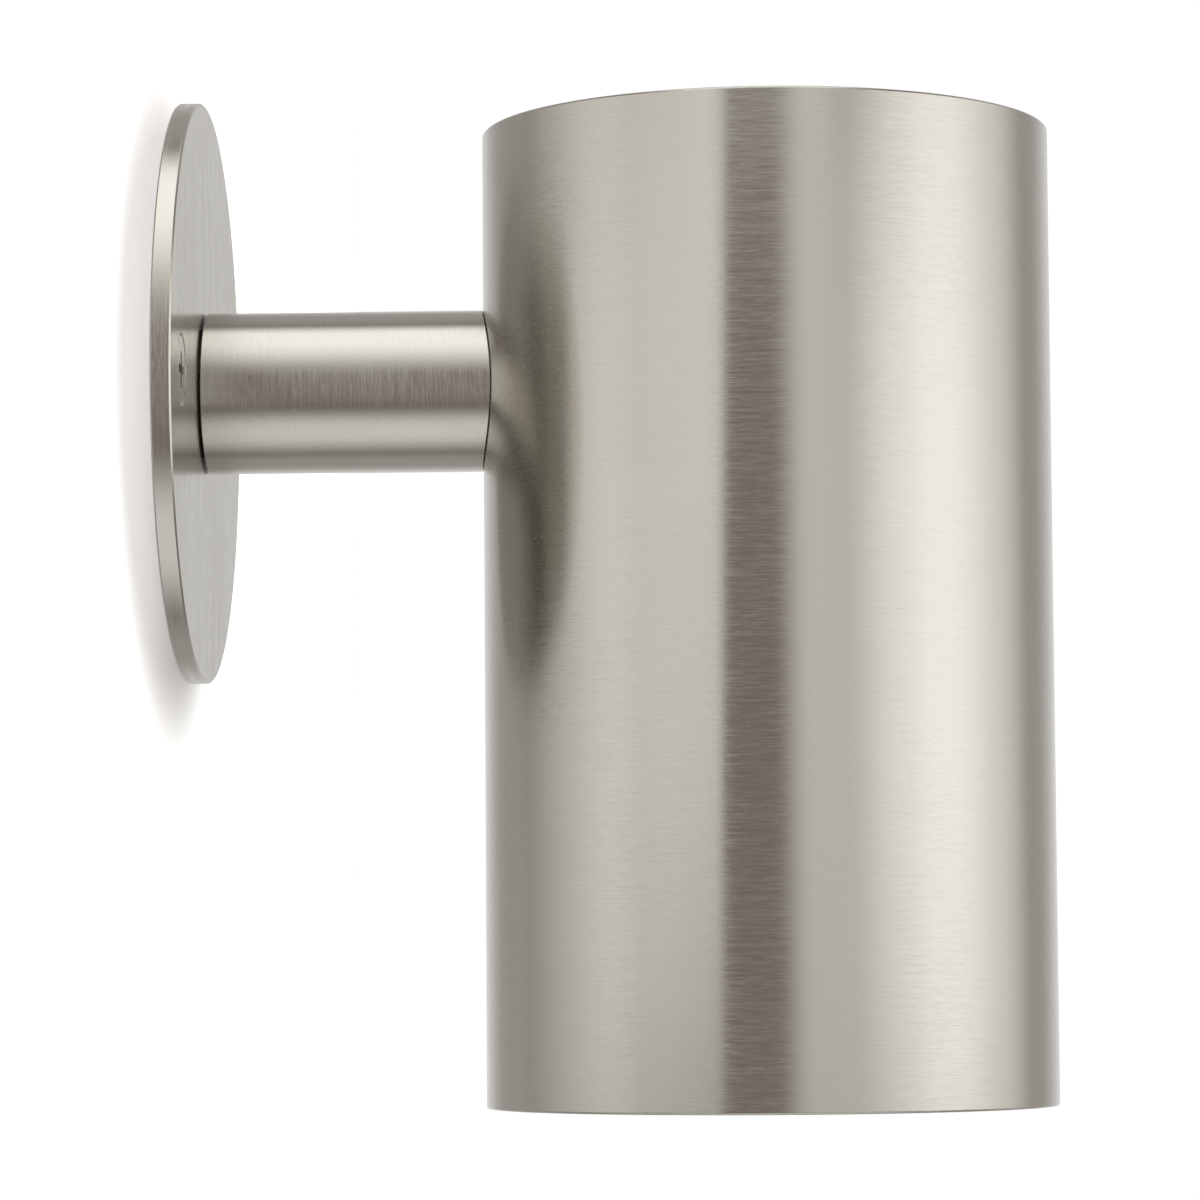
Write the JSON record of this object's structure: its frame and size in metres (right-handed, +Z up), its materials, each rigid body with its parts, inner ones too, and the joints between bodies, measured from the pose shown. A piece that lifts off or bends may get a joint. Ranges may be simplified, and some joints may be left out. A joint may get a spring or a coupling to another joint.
{
  "type": "wall light",
  "caption": "Tube wall light: a round wall plate and a short turning arm carry an upright metal tube, closed on top, that holds a twist-lock spot lamp shining down.",
  "frame": {"origin": "centre of the wall plate's back face, on the wall", "axes": "+X out of the wall along the arm, +Y along the wall, +Z up along the shade tube"},
  "size_m": [0.1165, 0.072, 0.1245],
  "materials": {
    "satin_steel": "satin brushed stainless steel, round the tubes and even on the plate",
    "steel_fastener": "plain stainless steel fasteners, fine turned",
    "turned_brass": "turned brass, plain",
    "zinc_steel": "bright zinc plated steel",
    "holder_ceramic": "unglazed white steatite",
    "contact_brass": "spring brass strip",
    "bush_plastic": "moulded nylon",
    "sleeve_glass": "woven glass-fibre sleeving",
    "lead_live": "brown silicone insulation",
    "lead_neutral": "blue silicone insulation",
    "lead_earth": "green and yellow silicone insulation",
    "lamp_plastic": "white moulded lamp base",
    "lamp_aluminium": "die cast and lightly blasted",
    "board_white": "white solder mask",
    "led_phosphor": "yellow phosphor over the chip",
    "lens_frosted": "lightly frosted front"
  },
  "bodies": {
    "wall_mount": {"wall_plate": "satin_steel", "wall_screws": "steel_fastener", "arm_spigot": "turned_brass", "stop_pin": "steel_fastener", "spigot_screws": "steel_fastener"},
    "head": {"arm_tube": "satin_steel", "grub_screw": "steel_fastener", "arm_insert": "turned_brass", "nipple": "zinc_steel", "shade_tube": "satin_steel", "top_cap": "satin_steel", "saddle_washer": "zinc_steel", "lampholder_bracket": "zinc_steel", "lock_washer": "zinc_steel", "nipple_nut": "zinc_steel", "nipple_bush": "bush_plastic", "lampholder_body": "holder_ceramic", "lampholder_cover": "holder_ceramic", "lampholder_screws": "zinc_steel", "lampholder_nuts": "zinc_steel", "lampholder_contacts": "contact_brass", "lead_sleeve": "sleeve_glass", "live_lead": "lead_live", "neutral_lead": "lead_neutral", "earth_lead": "lead_earth", "earth_tag": "contact_brass", "earth_screw": "contact_brass", "earth_nut": "contact_brass"},
    "lamp": {"lamp_pins": "contact_brass", "lamp_base": "lamp_plastic", "lamp_heatsink": "lamp_aluminium", "lamp_board": "board_white", "lamp_leds": "led_phosphor", "lamp_lens": "lens_frosted", "lamp_bezel": "lamp_aluminium"}
  },
  "joints": [
    {"name": "arm_swivel", "type": "hinge", "parent": "wall_mount", "child": "head", "pos_m": [0.0028, 0, 0], "axis": [1, 0, 0], "range_deg": [-155, 155]},
    {"name": "lamp_twist", "type": "hinge", "parent": "head", "child": "lamp", "pos_m": [0.072, 0, -0.0043], "axis": [0, 0, 1], "range_deg": [-30, 0]}
  ]
}
